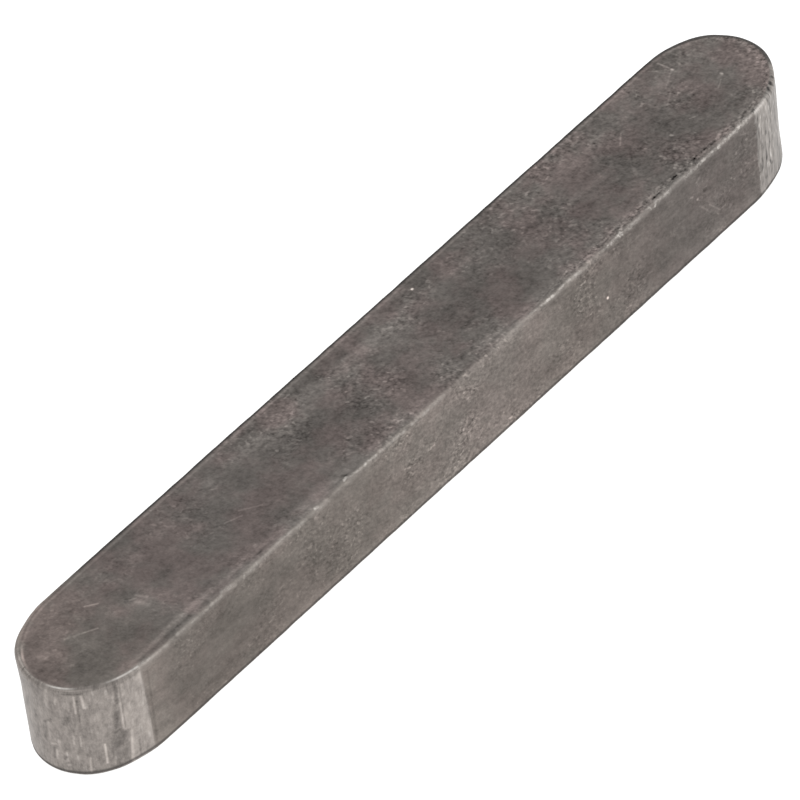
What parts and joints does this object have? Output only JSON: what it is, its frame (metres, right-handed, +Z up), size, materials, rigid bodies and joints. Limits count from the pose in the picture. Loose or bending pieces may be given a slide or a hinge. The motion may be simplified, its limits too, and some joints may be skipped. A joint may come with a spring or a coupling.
{
  "type": "parallel key",
  "caption": "Round-ended parallel key: a small steel bar of rectangular section that locks a hub to a shaft through matching keyways.",
  "frame": {"origin": "centre of the bottom face, on the surface that the key lies on", "axes": "+X along the key, +Y across it from flank to flank, +Z up through its height"},
  "size_m": [0.063, 0.008, 0.007],
  "materials": {
    "key_steel": "bright drawn bar gone dull and slightly brown-grey, with finely milled lighter ends and worn rims"
  },
  "bodies": {
    "root": {"parallel_key": "key_steel"}
  },
  "joints": []
}
